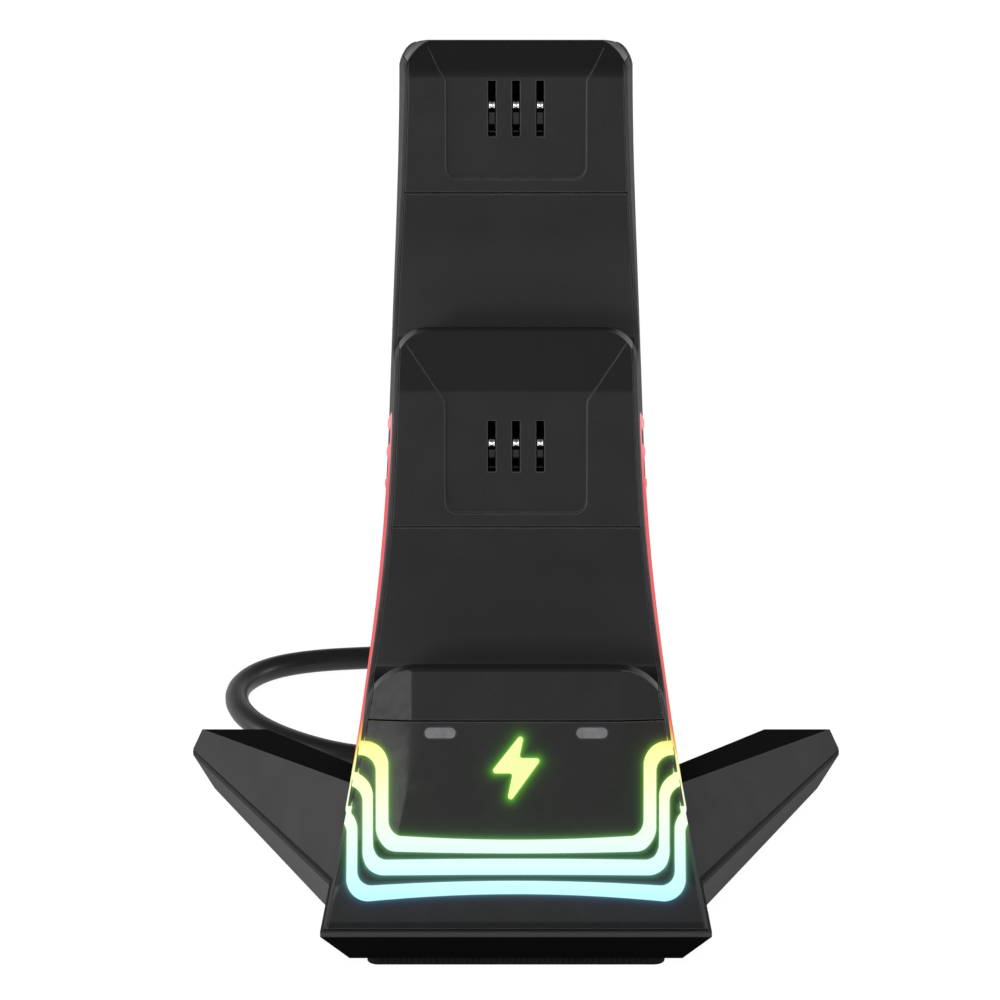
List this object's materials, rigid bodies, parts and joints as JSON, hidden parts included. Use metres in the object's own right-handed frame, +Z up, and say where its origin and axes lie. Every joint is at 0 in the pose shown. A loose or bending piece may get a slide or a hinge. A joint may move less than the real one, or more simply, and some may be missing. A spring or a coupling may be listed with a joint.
{
  "type": "controller charging dock",
  "caption": "Free-standing leaning dock that charges two hand controllers on sprung contacts, with wrap-round light strips, splayed rear legs and a lead",
  "frame": {"origin": "centre of the dock's footprint box on the surface it stands on, lead left out", "axes": "+Z up, -Y to the front where the controllers face, +X to the viewer's right from the front"},
  "size_m": [0.187, 0.2047, 0.2283],
  "materials": {
    "shell_plastic": "fine moulded satin",
    "front_plastic": "fine moulded satin",
    "base_plastic": "fine moulded satin",
    "holder_plastic": "moulded",
    "foot_rubber": "matte",
    "lead_rubber": "satin jacket",
    "tie_strap": "woven strap",
    "indicator_plastic": "frosted lens, unlit",
    "lit_strip": "lit diffuser",
    "lit_emblem": "lit diffuser",
    "circuit_board": "solder mask",
    "led_body": "moulded",
    "screw_steel": "zinc plated",
    "contact_metal": "bright nickel plate",
    "plug_metal": "nickel plate"
  },
  "bodies": {
    "dock": {"rear_housing": "shell_plastic", "front_fascia": "front_plastic", "fascia_cap": "front_plastic", "lower_panel": "front_plastic", "lower_cradle": "front_plastic", "upper_panel": "front_plastic", "upper_cradle": "front_plastic", "bottom_cover": "base_plastic", "leg_cover_left": "shell_plastic", "leg_cover_right": "shell_plastic", "front_foot": "foot_rubber", "leg_foot_left": "foot_rubber", "leg_foot_right": "foot_rubber", "indicator_lens_left": "indicator_plastic", "indicator_lens_right": "indicator_plastic", "emblem_lens": "lit_emblem", "light_strip_1": "lit_strip", "light_strip_2": "lit_strip", "light_strip_3": "lit_strip", "main_board": "circuit_board", "light_board": "circuit_board", "light_board_leds": "led_body", "lower_contact_board": "circuit_board", "upper_contact_board": "circuit_board", "lower_contact_holder": "holder_plastic", "upper_contact_holder": "holder_plastic", "board_screws": "screw_steel", "base_screws": "screw_steel", "inner_lead": "lead_rubber", "lower_harness": "lead_rubber", "upper_harness": "lead_rubber", "strain_relief": "lead_rubber", "lead": "lead_rubber", "lead_coil": "lead_rubber", "lead_end": "lead_rubber", "lead_tie": "tie_strap", "plug_body": "lead_rubber", "plug_shell": "plug_metal"},
    "lower_contact_left_leaf": {"lower_contact_left": "contact_metal"},
    "lower_contact_middle_leaf": {"lower_contact_middle": "contact_metal"},
    "lower_contact_right_leaf": {"lower_contact_right": "contact_metal"},
    "upper_contact_left_leaf": {"upper_contact_left": "contact_metal"},
    "upper_contact_middle_leaf": {"upper_contact_middle": "contact_metal"},
    "upper_contact_right_leaf": {"upper_contact_right": "contact_metal"}
  },
  "joints": [
    {"name": "lower_contact_left_flex", "type": "hinge", "parent": "dock", "child": "lower_contact_left_leaf", "pos_m": [-0.00637, -0.00316, 0.12608], "axis": [-1, 0, 0], "range_deg": [0, 9], "stiffness_Nm_per_rad": 0.04},
    {"name": "lower_contact_middle_flex", "type": "hinge", "parent": "dock", "child": "lower_contact_middle_leaf", "pos_m": [0, -0.00316, 0.12608], "axis": [-1, 0, 0], "range_deg": [0, 9], "stiffness_Nm_per_rad": 0.04},
    {"name": "lower_contact_right_flex", "type": "hinge", "parent": "dock", "child": "lower_contact_right_leaf", "pos_m": [0.00637, -0.00316, 0.12608], "axis": [-1, 0, 0], "range_deg": [0, 9], "stiffness_Nm_per_rad": 0.04},
    {"name": "upper_contact_left_flex", "type": "hinge", "parent": "dock", "child": "upper_contact_left_leaf", "pos_m": [-0.00637, 0.03556, 0.20657], "axis": [-1, 0, 0], "range_deg": [0, 9], "stiffness_Nm_per_rad": 0.04},
    {"name": "upper_contact_middle_flex", "type": "hinge", "parent": "dock", "child": "upper_contact_middle_leaf", "pos_m": [0, 0.03556, 0.20657], "axis": [-1, 0, 0], "range_deg": [0, 9], "stiffness_Nm_per_rad": 0.04},
    {"name": "upper_contact_right_flex", "type": "hinge", "parent": "dock", "child": "upper_contact_right_leaf", "pos_m": [0.00637, 0.03556, 0.20657], "axis": [-1, 0, 0], "range_deg": [0, 9], "stiffness_Nm_per_rad": 0.04}
  ]
}
